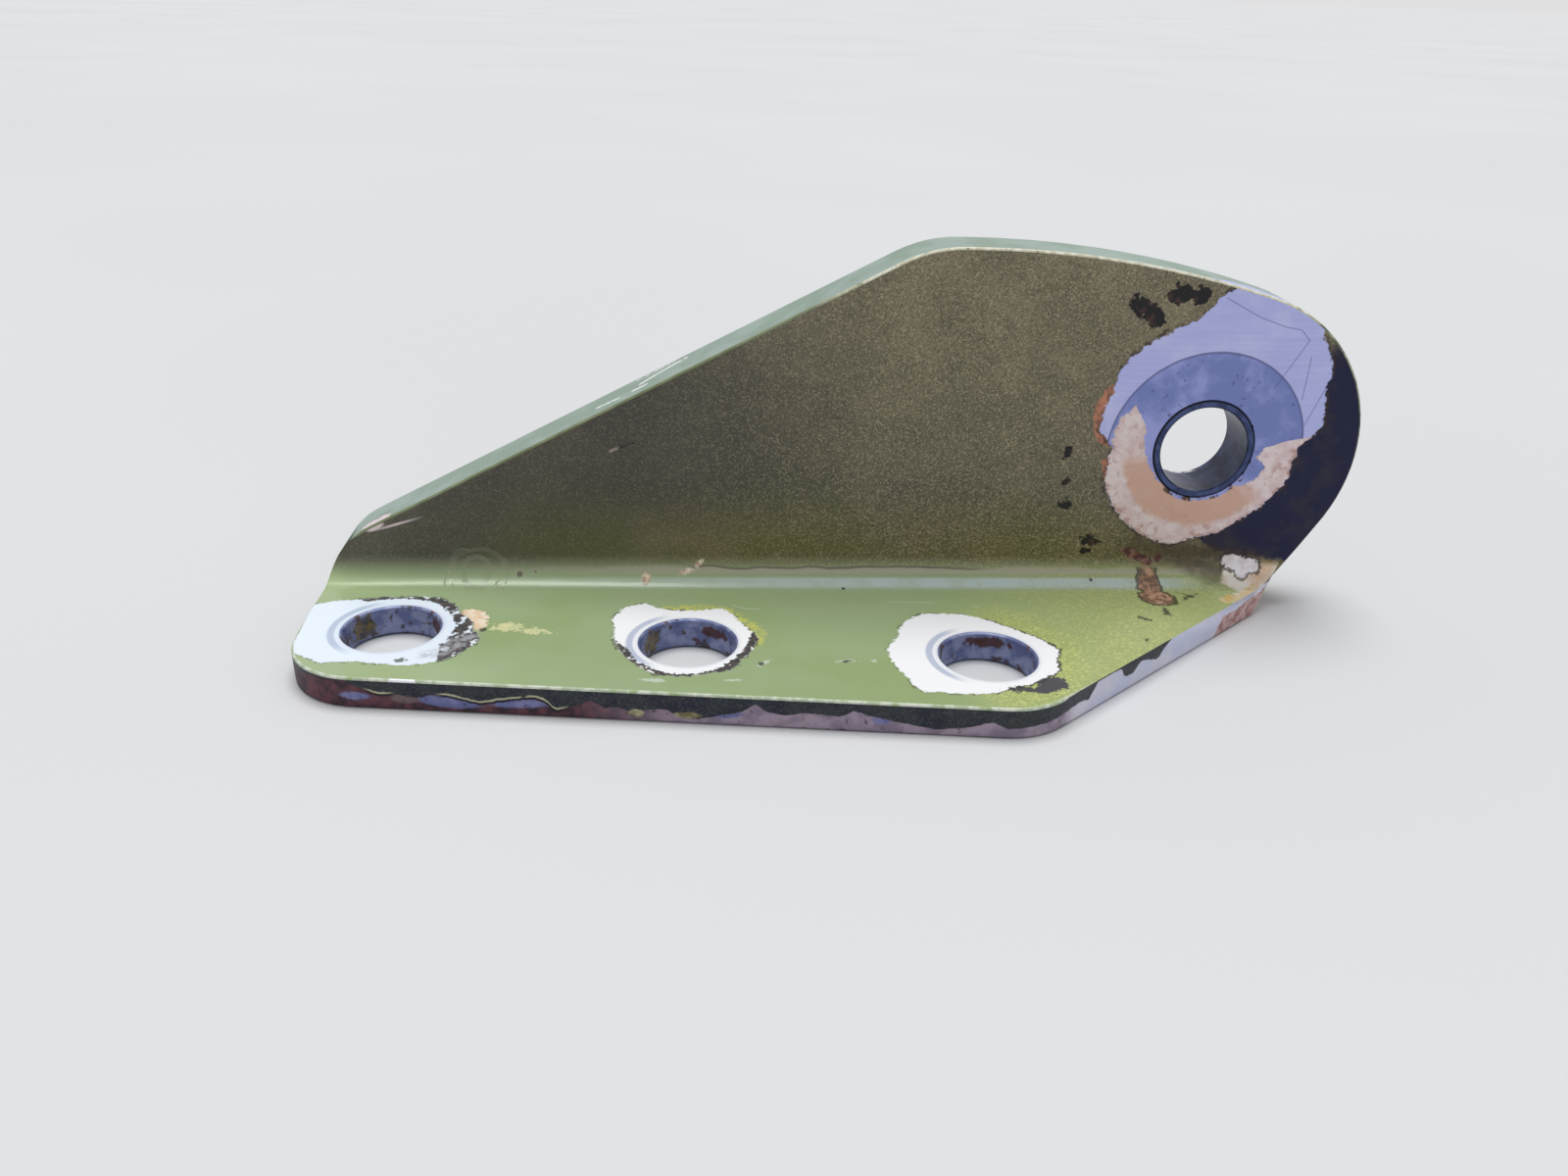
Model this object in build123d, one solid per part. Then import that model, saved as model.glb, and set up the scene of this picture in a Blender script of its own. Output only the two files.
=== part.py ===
from build123d import *

import os
from math import atan2, cos, degrees, radians, sin, sqrt, tan

# Landing gear fitting: an angle milled from one block, with a mounting flange that lies flat on
# the structure and an upright web that ends in a pivot lug. A thin steel bushing is pressed into
# the lug. The origin is where the middle flange hole's axis meets the mounting face, +X runs
# along the hole line towards the lug, +Y goes from the flange to the web, +Z is up.
# All lengths are in millimetres and all angles in degrees.

# Flange and its bolt holes
HOLE_COUNT = 3
HOLE_PITCH = 30.2
HOLE_DIAMETER = 9.53
HOLE_EDGE_BREAK = 0.3
FLANGE_THICKNESS = 3.3
FRONT_EDGE_DISTANCE = 10.0      # from the hole line to the front edge
TAIL_EDGE_DISTANCE = 9.1        # from the first hole's axis to the tail end, along the web
NOSE_ANGLE = 45.0               # between the slanted nose edge and the front edge
NOSE_OVERHANG = 2.8             # of the nose past the foot of the lug's flank, along the web
FLANGE_CORNER_RADIUS = 8.0

# Web, which stands at a small angle to the hole line
WEB_ANGLE = 5.7
WEB_SETBACK = 14.5              # from the middle hole's axis to the web's front face, along Y
WEB_THICKNESS = 6.0
INNER_FILLET_RADIUS = 3.0       # between flange and web
TAIL_HEIGHT = 7.0               # of the web's tail, where the slope would meet the tail end
TAIL_CORNER_RADIUS = 9.0
TOP_SLOPE_ANGLE = 27.5          # of the long edge that climbs from the tail to the peak
PEAK_RISE = 3.9                 # of the level peak above the top of the lug's round
PEAK_CORNER_RADIUS = 14.0
PEAK_LEVEL_LENGTH = 1.4         # from the peak's rounding to the crest's shallow arc

# Pivot lug and its bushing
LUG_REACH = 25.8                # from the last hole's axis to the pivot axis, along the web
LUG_HEIGHT = 19.0               # of the pivot axis above the mounting face
LUG_RADIUS = 17.2
LUG_FLANK_ANGLE = 58.4          # of the straight flank under the lug, above the horizontal
BUSHING_BORE = 9.53
BUSHING_WALL = 0.79
BUSHING_EDGE_BREAK = 0.12       # on the bushing's ends, inside and out
LUG_BORE_EDGE_BREAK = 0.15

HEEL_CORNER_RADIUS = 1.5        # between the lug's flank and the nose edge
REAR_EDGE_BREAK = 0.35          # around the web's back face and the mounting face

# Derived places along the web, measured from the middle hole's place on its front face
web_cos = cos(radians(WEB_ANGLE))
web_sin = sin(radians(WEB_ANGLE))
web_along = Vector(web_cos, web_sin, 0)
web_inward = Vector(-web_sin, web_cos, 0)
web_origin = Vector(0, WEB_SETBACK, 0)
last_hole_x = HOLE_PITCH * (HOLE_COUNT - 1) / 2
hole_places = [HOLE_PITCH * index - last_hole_x for index in range(HOLE_COUNT)]
first_hole_along = (Vector(-last_hole_x, 0, 0) - web_origin).dot(web_along)
last_hole_along = (Vector(last_hole_x, 0, 0) - web_origin).dot(web_along)
tail_end = first_hole_along - TAIL_EDGE_DISTANCE
pivot_along = last_hole_along + LUG_REACH
seat_diameter = BUSHING_BORE + 2 * BUSHING_WALL
peak_height = LUG_HEIGHT + LUG_RADIUS + PEAK_RISE
peak_along = tail_end + (peak_height - TAIL_HEIGHT) / tan(radians(TOP_SLOPE_ANGLE))

# The lug's round ends where it is tangent to the flank, which runs straight down to its foot
flank_lean = radians(LUG_FLANK_ANGLE)
flank_top = Vector(pivot_along, LUG_HEIGHT) + Vector(sin(flank_lean), -cos(flank_lean)) * LUG_RADIUS
flank_foot = flank_top.X - flank_top.Y / tan(flank_lean)

# The crest's arc starts level and runs tangent into the lug, which gives its radius
crest_start = peak_along + PEAK_CORNER_RADIUS * tan(radians(TOP_SLOPE_ANGLE / 2)) + PEAK_LEVEL_LENGTH
crest_run = pivot_along - crest_start
crest_radius = LUG_RADIUS + (crest_run**2 + PEAK_RISE**2) / (2 * PEAK_RISE)

# Stock large enough to be trimmed by both outlines
margin = 5.0
stock_end = pivot_along + LUG_RADIUS + margin
stock_height = peak_height + margin
stock_depth = FRONT_EDGE_DISTANCE + WEB_SETBACK + (stock_end - tail_end) * abs(web_sin) + margin


def on_web(along, inward, up=0.0):
    """A point given along the web, into its thickness from the front face, and up."""
    return web_origin + web_along * along + web_inward * inward + Vector(0, 0, up)


def web_face_plane(along=0.0, up=0.0):
    """The web's front face from a given place on it: local X runs along the web, local Y is up."""
    return Plane(origin=on_web(along, 0, up), x_dir=web_along, z_dir=web_inward * -1)


def angle_stock():
    """The L-shaped section with its inner fillet, run the whole length of the web."""
    section_plane = Plane(origin=on_web(tail_end, 0), x_dir=web_inward, z_dir=web_along)
    inner_corner = (0, FLANGE_THICKNESS)
    with BuildPart() as stock:
        with BuildSketch(section_plane) as section:
            with BuildLine():
                Polyline(
                    (-stock_depth, 0),
                    (WEB_THICKNESS, 0),
                    (WEB_THICKNESS, stock_height),
                    (0, stock_height),
                    inner_corner,
                    (-stock_depth, FLANGE_THICKNESS),
                    close=True,
                )
            make_face()
            fillet(section.vertices().sort_by_distance(inner_corner)[0], INNER_FILLET_RADIUS)
        extrude(amount=stock_end - tail_end)
    return stock.part


def tail_arc():
    """The tail's rounding: it starts at the flange's top edge and ends tangent to the slope."""
    slope = radians(TOP_SLOPE_ANGLE)
    up_slope = Vector(cos(slope), sin(slope))
    off_slope = Vector(-sin(slope), cos(slope))
    start = Vector(tail_end, FLANGE_THICKNESS)
    gap = (TAIL_HEIGHT - FLANGE_THICKNESS) * cos(slope)
    run = sqrt(TAIL_CORNER_RADIUS**2 - (TAIL_CORNER_RADIUS - gap) ** 2)
    end = start + off_slope * gap + up_slope * run
    centre = end - off_slope * TAIL_CORNER_RADIUS
    start_angle = degrees(atan2(start.Y - centre.Y, start.X - centre.X))
    end_angle = degrees(atan2(end.Y - centre.Y, end.X - centre.X))
    return centre, start_angle, end_angle - start_angle, end


def side_outline():
    """The side view: tail, long slope, peak, shallow crest, round lug and straight flank."""
    peak = (peak_along, peak_height)
    tail_centre, tail_angle, tail_sweep, slope_foot = tail_arc()
    crest_centre = (crest_start, peak_height - crest_radius)
    join_angle = degrees(atan2(LUG_HEIGHT - peak_height + crest_radius, crest_run))
    flank_angle = LUG_FLANK_ANGLE - 90
    with BuildSketch(web_face_plane()) as outline:
        with BuildLine():
            Polyline((flank_foot, 0), (tail_end, 0), (tail_end, FLANGE_THICKNESS))
            CenterArc(tail_centre, TAIL_CORNER_RADIUS, tail_angle, tail_sweep)
            Polyline(slope_foot, peak, (crest_start, peak_height))
            CenterArc(crest_centre, crest_radius, 90, join_angle - 90)
            CenterArc((pivot_along, LUG_HEIGHT), LUG_RADIUS, join_angle, flank_angle - join_angle)
            Line(flank_top, (flank_foot, 0))
        make_face()
        fillet(outline.vertices().sort_by_distance(peak)[0], PEAK_CORNER_RADIUS)
    return outline.sketch


def plan_outline():
    """The top view: a flange with a slanted nose that stops at the web's front face."""
    front = -FRONT_EDGE_DISTANCE
    tail_rear = on_web(tail_end, WEB_THICKNESS)
    tail_front = tail_rear - web_inward * ((tail_rear.Y - front) / web_cos)
    nose_rear = on_web(flank_foot + NOSE_OVERHANG, 0)
    nose_front = Vector(nose_rear.X - (nose_rear.Y - front) / tan(radians(NOSE_ANGLE)), front)
    with BuildSketch() as outline:
        with BuildLine():
            Polyline(
                tail_front,
                nose_front,
                nose_rear,
                on_web(stock_end, 0),
                on_web(stock_end, WEB_THICKNESS),
                tail_rear,
                close=True,
            )
        make_face()
        for corner in (tail_front, nose_front):
            fillet(outline.vertices().sort_by_distance(corner)[0], FLANGE_CORNER_RADIUS)
    return outline.sketch


def face_towards(body, direction):
    """The largest flat face that looks in one direction."""
    flat = body.faces().filter_by(GeomType.PLANE)
    facing = [face for face in flat if face.normal_at().dot(direction) > 0.999]
    return max(facing, key=lambda face: face.area)


def edges_not_on(face, neighbour):
    """The edges of a face that it doesn't share with its neighbour."""
    shared = neighbour.edges()
    return [edge for edge in face.edges() if not any(edge.is_same(other) for other in shared)]


def heel_edge(block):
    """The edge where the lug's flank meets the slanted nose."""
    slant = radians(NOSE_ANGLE)
    flank = face_towards(block, web_along * sin(flank_lean) - Vector(0, 0, cos(flank_lean)))
    nose = face_towards(block, Vector(sin(slant), -cos(slant), 0))
    return [edge for edge in flank.edges() if any(edge.is_same(other) for other in nose.edges())]


def rear_rim(body):
    """The edges around the web's back face and the mounting face, with the heel between them."""
    back = face_towards(body, web_inward)
    underside = face_towards(body, Vector(0, 0, -1))
    return list(back.edges()) + edges_not_on(underside, back)


def bore_cutter(mouth, diameter, depth, edge_break):
    """A cutter for a bore down from a face, which breaks the edge at both of its ends."""
    radius = diameter / 2
    flare = radius + 2 * edge_break
    half_profile = Polyline(
        (0, edge_break),
        (flare, edge_break),
        (radius, -edge_break),
        (radius, edge_break - depth),
        (flare, -depth - edge_break),
        (0, -depth - edge_break),
        close=True,
    )
    return mouth * revolve(Plane.XZ * make_face(half_profile), Axis.Z)


def fitting_body():
    """The one-piece fitting: the stock trimmed to both outlines, deburred and bored."""
    side = side_outline()
    side_block = extrude(side, amount=stock_depth) + extrude(side, amount=-WEB_THICKNESS)
    plan_block = extrude(plan_outline(), amount=stock_height)
    outline_block = (side_block & plan_block).solids()[0]
    outline_block = outline_block.fillet(HEEL_CORNER_RADIUS, heel_edge(outline_block))
    trimmed = (angle_stock() & outline_block).solids()[0]
    body = Part() + trimmed.fillet(REAR_EDGE_BREAK, rear_rim(trimmed))
    for place in hole_places:
        mouth = Plane(origin=(place, 0, FLANGE_THICKNESS))
        body -= bore_cutter(mouth, HOLE_DIAMETER, FLANGE_THICKNESS, HOLE_EDGE_BREAK)
    pivot = web_face_plane(pivot_along, LUG_HEIGHT)
    body -= bore_cutter(pivot, seat_diameter, WEB_THICKNESS, LUG_BORE_EDGE_BREAK)
    return body.solids()[0]


def lug_bushing():
    """The bushing pressed into the lug, as long as the web is thick, flush on both faces."""
    outer = seat_diameter / 2
    inner = BUSHING_BORE / 2
    half_profile = Polyline(
        (inner + BUSHING_EDGE_BREAK, 0),
        (outer - BUSHING_EDGE_BREAK, 0),
        (outer, -BUSHING_EDGE_BREAK),
        (outer, BUSHING_EDGE_BREAK - WEB_THICKNESS),
        (outer - BUSHING_EDGE_BREAK, -WEB_THICKNESS),
        (inner + BUSHING_EDGE_BREAK, -WEB_THICKNESS),
        (inner, BUSHING_EDGE_BREAK - WEB_THICKNESS),
        (inner, -BUSHING_EDGE_BREAK),
        close=True,
    )
    ring = revolve(Plane.XZ * make_face(half_profile), Axis.Z)
    return (web_face_plane(pivot_along, LUG_HEIGHT) * ring).solids()[0]


os.makedirs("parts", exist_ok=True)
export_step(fitting_body(), "parts/fitting_body.step")
export_step(lug_bushing(), "parts/lug_bushing.step")
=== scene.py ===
import math

import bpy
from mathutils import Matrix, Vector

# Landing gear fitting: olive paint worn off around the bolt holes, the lug and the flange's rim.
# Places on the part are in millimetres in its own frame. A place on the web is (along, up): along
# the web's front face from abreast of the middle bolt hole, and up from the mounting face.

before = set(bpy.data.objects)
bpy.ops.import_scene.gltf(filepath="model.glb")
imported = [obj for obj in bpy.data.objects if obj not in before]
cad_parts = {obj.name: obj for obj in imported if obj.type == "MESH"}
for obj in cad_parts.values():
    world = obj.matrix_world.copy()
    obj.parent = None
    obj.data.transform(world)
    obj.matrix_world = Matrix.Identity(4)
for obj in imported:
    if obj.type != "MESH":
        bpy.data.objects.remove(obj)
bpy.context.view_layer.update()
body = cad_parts["fitting_body"]
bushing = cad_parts["lug_bushing"]

MM = 0.001
HOLE_XS = (-30.2, 0.0, 30.2)
HOLE_RADIUS = 4.77
FLANGE_TOP = 3.3
WEB_THICKNESS = 6.0
PIVOT = (54.41, 19.0)
EDGE_ROUNDING = 0.25
FLOOR_DROP = 0.02
SAME_PLACE = 0.001
IN_PLANE = 0.01
WEB_TURN = math.radians(5.7)
web_origin = Vector((0, 14.5, 0))
web_along = Vector((math.cos(WEB_TURN), math.sin(WEB_TURN), 0))
web_inward = Vector((-math.sin(WEB_TURN), math.cos(WEB_TURN), 0))

# Noise: how far it mostly strays from its middle, and how far apart two seeds are read
NOISE_SWING = 0.25
NOISE_STEP = (7.3, 3.1, 5.7)
PIT_STEP = (2.3, 4.1, 1.7)

# The tops of the curves' ranges: a wear outline's largest radius, and more than the rim's height
OUTLINE_REACH = 20
RIM_REACH = 4

# Wear outlines: (degrees, millimetres) around a bolt hole, seen from above
TAIL_BARE = (
    (-178, 13), (-160, 13), (-150, 10.5), (-141, 9.6), (-132, 9.0), (-121, 8.7), (-113, 7.7), (-99, 7.0),
    (-81, 7.2), (-62, 8.2), (-43, 9.0), (-33, 9.2), (-22, 9.4), (-9, 9.4), (4, 8.2), (15, 8.0), (33, 7.1),
    (53, 7.5), (71, 7.6), (98, 6.9), (112, 7.3), (130, 7.7), (145, 9.3), (156, 10.5), (162, 13),
)
TAIL_SCALE_INSIDE = (
    (-180, 13), (-70, 13), (-40, 8.2), (-31, 6.8), (-22, 6.3), (0, 6.3), (15, 6.3), (31, 6.1), (46, 6.1),
    (64, 6.5), (78, 6.5), (98, 6.6), (113, 6.6), (130, 7.2), (145, 13),
)
MIDDLE_BARE = (
    (-175, 7.4), (-163, 7.0), (-147, 6.8), (-127, 6.7), (-113, 7.1), (-94, 6.9), (-77, 6.7), (-61, 6.5),
    (-47, 7.1), (-29, 6.4), (-6, 6.7), (2, 6.8), (13, 7.2), (26, 6.8), (41, 6.7), (60, 7.6), (69, 8.0),
    (79, 7.4), (91, 6.8), (109, 7.0), (120, 8.1), (124, 9.7), (137, 10.1), (153, 9.4), (163, 8.1),
)
MIDDLE_SCALE_INSIDE = (
    (-175, 7.0), (-158, 6.1), (-136, 6.1), (-114, 6.3), (-92, 6.4), (-69, 6.3), (-50, 5.9), (-28, 5.7),
    (-9, 5.7), (5, 6.1), (18, 6.4), (40, 8), (150, 13),
)
MIDDLE_OVERSPRAY = ((-30, 5), (5, 7.6), (20, 8.2), (45, 7.9), (70, 8.6), (96, 8.0), (116, 8.1), (130, 5))
NOSE_BARE = (
    (-160, 9.8), (-152, 9.6), (-138, 10.1), (-131, 10.2), (-123, 8.9), (-102, 7.7), (-87, 7.0), (-72, 6.4),
    (-53, 6.4), (-32, 6.7), (-21, 7.2), (-2, 6.9), (14, 7.7), (31, 7.2), (51, 6.8), (71, 7.1), (92, 8.3),
    (106, 9.1), (127, 10.4), (138, 10.4), (148, 10.1), (161, 9.4), (177, 10.0),
)

# Wear outlines: (degrees, millimetres) around the pivot, seen from the web's front
LUG_BARE = (
    (-169, 10.6), (-158, 11.1), (-145, 11.3), (-122, 11.3), (-100, 11.4), (-83, 10.2), (-74, 10.4),
    (-60, 9.9), (-38, 10.0), (-26, 10.4), (-17, 10.6), (-6, 10.2), (2, 10.4), (7, 11.7), (13, 12.9),
    (23, 13.4), (32, 14.2), (34, 15.2), (43, 15.8), (51, 16.6), (57, 20), (84, 20), (89, 17.5),
    (94, 16.8), (98, 15.4), (103, 14.4), (116, 14.1), (141, 13.9), (144, 13.2), (151, 12.7), (170, 12.1),
    (175, 10.9), (179, 10.2),
)
LUG_PRIMER_INSIDE = (
    (-169, 6.2), (-149, 5.8), (-128, 5.6), (-110, 6.2), (-97, 5.8), (-61, 6.0), (-46, 6.0), (-33, 6.9),
    (-15, 7.6), (-8, 5.9), (3, 6.9), (7, 9.0), (10, 20), (144, 20), (149, 9.6), (158, 7.4), (173, 6.8),
)
LUG_PRIMER_OUTSIDE = ((-175, 20), (140, 20), (149, 9.6), (157, 10.1), (165, 10.4), (179, 10.2))
LUG_ORANGE = ((-178, 8), (-174, 11.2), (140, 8), (147, 13.4), (158, 13.6), (168, 13.0), (176, 11.9))

# The lower limit of the paint on the flange's rim, as (x, height)
RIM_PAINT_EDGE = (
    (-41, 1.2), (-36, 2.6), (-33.1, 3.1), (-31.6, 3.0), (-30.3, 2.3), (-28.3, 1.7), (-27.0, 1.8),
    (-24.6, 1.4), (-23.3, 1.9), (-21.6, 1.9), (-18.6, 1.2), (-17.0, 1.6), (-13.5, 2.2), (-12.3, 1.8),
    (-11.5, 0.8), (-9.1, 1.6), (-8.1, 2.2), (-6.8, 1.3), (-5.3, 1.5), (-3.7, 0.6), (-3.0, 1.3),
    (-1.0, 1.5), (0.3, 0.7), (2.2, 0.6), (3.8, 1.0), (6.1, 1.5), (7.6, 2.6), (8.4, 1.8), (10.1, 1.4),
    (12.1, 1.8), (15.6, 1.6), (16.7, 2.3), (18.4, 1.8), (21.5, 1.2), (24.5, 0.7), (27.7, 1.1),
    (29.8, 1.8), (31.2, 1.1), (35.5, 1.4), (38.6, 1.9), (39.7, 1.6), (40.5, 3.1), (43.4, 3.1),
    (44.0, 1.7), (45.1, 1.7), (46.0, 2.7), (48.3, 1.6), (49.0, 2.6), (50.4, 3.6), (66, 3.6),
)


def srgb(red, green, blue):
    """A display colour from 0 to 255, as the linear colour that a shader takes."""
    linear = []
    for part in (red, green, blue):
        share = part / 255
        linear.append(share / 12.92 if share <= 0.04045 else ((share + 0.055) / 1.055) ** 2.4)
    return (*linear, 1.0)


def closed(outline):
    """An outline's points in order of angle, joined up at plus and minus 180 degrees."""
    points = sorted(outline)
    (last_angle, last_radius), (first_angle, first_radius) = points[-1], points[0]
    share = (180 - last_angle) / (first_angle + 360 - last_angle)
    joint = last_radius + (first_radius - last_radius) * share
    inner = [point for point in points if abs(point[0]) < 180]
    return [(-180, joint), *inner, (180, joint)]


class Shader:
    """One material's nodes. Apart from node and feed, a method gives back its result's sockets.

    Places are in millimetres. A plane is a vector socket with two measures and a one, so that one
    dot product gives the distance from a line in it. A mask is a socket from 0 to 1.
    """

    def __init__(self, name):
        self.material = bpy.data.materials.new(name)
        self.material.use_nodes = True
        self.tree = self.material.node_tree
        self.tree.nodes.clear()
        in_metres = self.node("TexCoord").outputs["Object"]
        self.point = self.vector("MULTIPLY", in_metres, (1 / MM, 1 / MM, 1 / MM))
        parts = self.node("SeparateXYZ", Vector=self.point)
        self.x, self.y, self.z = parts.outputs
        from_web = self.vector("SUBTRACT", self.point, tuple(web_origin))
        self.along = self.vector("DOT_PRODUCT", from_web, tuple(web_along))
        self.depth = self.vector("DOT_PRODUCT", from_web, tuple(web_inward))
        self.web = self.plane(self.along, self.z)
        self.plan = self.plane(self.x, self.y)

    def node(self, kind, settings=None, **inputs):
        made = self.tree.nodes.new("ShaderNode" + kind)
        for name, value in (settings or {}).items():
            setattr(made, name, value)
        for name, value in inputs.items():
            self.feed(made.inputs[name], value)
        return made

    def feed(self, socket, value):
        if isinstance(value, bpy.types.NodeSocket):
            self.tree.links.new(value, socket)
        else:
            socket.default_value = value

    def math(self, operation, *values, clamp=False):
        made = self.node("Math", {"operation": operation, "use_clamp": clamp})
        for socket, value in zip(made.inputs, values):
            self.feed(socket, value)
        return made.outputs[0]

    def vector(self, operation, *values):
        made = self.node("VectorMath", {"operation": operation})
        for socket, value in zip(made.inputs, values):
            self.feed(socket, value)
        gives_number = operation in ("DOT_PRODUCT", "LENGTH", "DISTANCE")
        return made.outputs["Value" if gives_number else "Vector"]

    def plane(self, first, second):
        return self.node("CombineXYZ", X=first, Y=second, Z=1.0).outputs[0]

    def add(self, *values):
        total = values[0]
        for value in values[1:]:
            total = self.math("ADD", total, value)
        return total

    def less(self, value, taken):
        return self.math("SUBTRACT", value, taken)

    def times(self, *values):
        total = values[0]
        for value in values[1:]:
            total = self.math("MULTIPLY", total, value)
        return total

    def size(self, value):
        return self.math("ABSOLUTE", value)

    def most(self, *values, pick="MAXIMUM"):
        found = values[0]
        for value in values[1:]:
            found = self.math(pick, found, value)
        return found

    def outside(self, mask):
        return self.less(1.0, mask)

    def ramp(self, value, low, high):
        """Goes smoothly from 0 where value is low to 1 where it is high."""
        made = self.node("MapRange", {"interpolation_type": "SMOOTHSTEP"}, Value=value)
        made.inputs["From Min"].default_value = low
        made.inputs["From Max"].default_value = high
        return made.outputs["Result"]

    def near(self, value, middle, reach):
        """1 where value is at the middle, falling to 0 at the reach on either side."""
        return self.ramp(self.size(self.less(value, middle)), reach, reach * 0.4)

    def noise(self, size, detail=2.0, seed=0, stretch=(1, 1, 1)):
        """Noise from 0 to 1 whose features are about size millimetres wide."""
        shift = tuple(seed * step for step in NOISE_STEP)
        place = self.node("Mapping", Vector=self.point, Location=shift, Scale=stretch).outputs[0]
        made = self.node("TexNoise", Vector=place, Scale=1 / size, Detail=detail)
        made.inputs["Roughness"].default_value = 0.6
        return made.outputs[0]

    def grain(self, size):
        """Three random values from 0 to 1 for each small cell about size millimetres wide."""
        made = self.node("TexVoronoi", Vector=self.point, Scale=1 / size)
        return self.node("SeparateColor", Color=made.outputs["Color"]).outputs

    def pits(self, spacing, radius, share, seed=0):
        """Small round spots about a spacing apart, in a share of the places."""
        place = self.vector("ADD", self.point, tuple(seed * step for step in PIT_STEP))
        made = self.node("TexVoronoi", Vector=place, Scale=1 / spacing)
        chance = self.node("SeparateColor", Color=made.outputs["Color"]).outputs[0]
        near_middle = self.ramp(made.outputs["Distance"], radius / spacing, 0.4 * radius / spacing)
        return self.times(near_middle, self.ramp(chance, 1 - share, 1.01 - share))

    def wander(self, amount, size, seed=0, detail=2.0):
        """An uneven distance, mostly within plus or minus amount millimetres."""
        return self.times(self.less(self.noise(size, detail, seed), 0.5), amount / NOISE_SWING)

    def patches(self, size, seed, low, high, detail=3):
        """Uneven patches: 0 where noise is below low, 1 where it is above high."""
        return self.ramp(self.noise(size, detail, seed), low, high)

    def curve(self, value, points, top):
        """Straight runs through (value, result) points, each result from 0 to top."""
        low, high = points[0][0], points[-1][0]
        made = self.node("FloatCurve")
        share = self.math("DIVIDE", self.less(value, low), high - low, clamp=True)
        self.feed(made.inputs["Value"], share)
        line = made.mapping.curves[0]
        line.points[0].location = (0, points[0][1] / top)
        line.points[1].location = (1, points[-1][1] / top)
        for place, result in points[1:-1]:
            line.points.new((place - low) / (high - low), result / top)
        for point in line.points:
            point.handle_type = "VECTOR"
        made.mapping.update()
        return self.times(made.outputs[0], top)

    def placed(self, plane, centre, turn=0.0, units=(1, 1)):
        """How far a plane's place lies from a centre, along two turned axes, in their units."""
        offsets = []
        for turned, unit in zip((turn, turn + 90), units):
            first, second = math.cos(math.radians(turned)) / unit, math.sin(math.radians(turned)) / unit
            axis = (first, second, -first * centre[0] - second * centre[1])
            offsets.append(self.vector("DOT_PRODUCT", plane, axis))
        return offsets

    def length(self, offsets):
        joined = self.node("CombineXYZ", X=offsets[0], Y=offsets[1]).outputs[0]
        return self.vector("LENGTH", joined)

    def around(self, plane, centre):
        """The distance and the angle in degrees around a centre in a plane."""
        offsets = self.placed(plane, centre)
        return self.length(offsets), self.math("DEGREES", self.math("ARCTAN2", offsets[1], offsets[0]))

    def room(self, polar, outline, ragged=0.0):
        """How far a place lies inside an outline, along the line to its centre."""
        away, angle = polar
        edge = self.curve(angle, closed(outline), OUTLINE_REACH)
        return self.add(self.less(edge, away), ragged)

    def within(self, room, soft=0.1):
        """1 where there is room left inside an outline, 0 outside it."""
        return self.ramp(room, -soft, soft)

    def spread(self, plane, shapes):
        """How far a place lies inside the nearest of several ellipses.

        Each is (centre, half sizes), and a third value turns it by that many degrees.
        """
        rooms = []
        for centre, half_sizes, *turn in shapes:
            away = self.length(self.placed(plane, centre, *turn, units=half_sizes))
            reach = min(half_sizes)
            rooms.append(self.math("MULTIPLY_ADD", away, -reach, reach))
        return self.most(*rooms)

    def blots(self, plane, shapes, ragged=0.0, soft=0.12):
        """1 inside any of several ellipses, 0 outside them all."""
        return self.within(self.add(self.spread(plane, shapes), ragged), soft)

    def strokes(self, plane, paths, half_width, ragged=0.0):
        """1 along scratches, each of which runs from place to place, and 0 away from them."""
        distances = []
        for path in paths:
            for start, end in zip(path, path[1:]):
                run = (end[0] - start[0], end[1] - start[1])
                ahead, aside = self.placed(plane, start, math.degrees(math.atan2(run[1], run[0])))
                on_line = self.math("MAXIMUM", self.math("MINIMUM", ahead, math.hypot(*run)), 0.0)
                distances.append(self.length((self.less(ahead, on_line), aside)))
        away = self.less(self.most(*distances, pick="MINIMUM"), ragged)
        return self.ramp(away, 1.6 * half_width, 0.4 * half_width)

    def blend(self, mask, first, second):
        """first where the mask is 0 and second where it is 1, for numbers or colours.

        A colour is a socket, three display values from 0 to 255, or four linear values.
        """
        ends = [srgb(*end) if isinstance(end, tuple) and len(end) == 3 else end for end in (first, second)]
        colours = any(isinstance(end, tuple) or getattr(end, "type", "") == "RGBA" for end in ends)
        made = self.node("Mix", {"data_type": "RGBA" if colours else "FLOAT"})
        # The node has separate sockets for numbers and for colours
        start, result = (6, 2) if colours else (2, 0)
        self.feed(made.inputs[0], mask)
        self.feed(made.inputs[start], ends[0])
        self.feed(made.inputs[start + 1], ends[1])
        return made.outputs[result]

    def mottle(self, size, first, second, seed=0, low=0.38, high=0.62):
        """A cloudy mixture of two colours."""
        return self.blend(self.patches(size, seed, low, high, 2), first, second)


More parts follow.
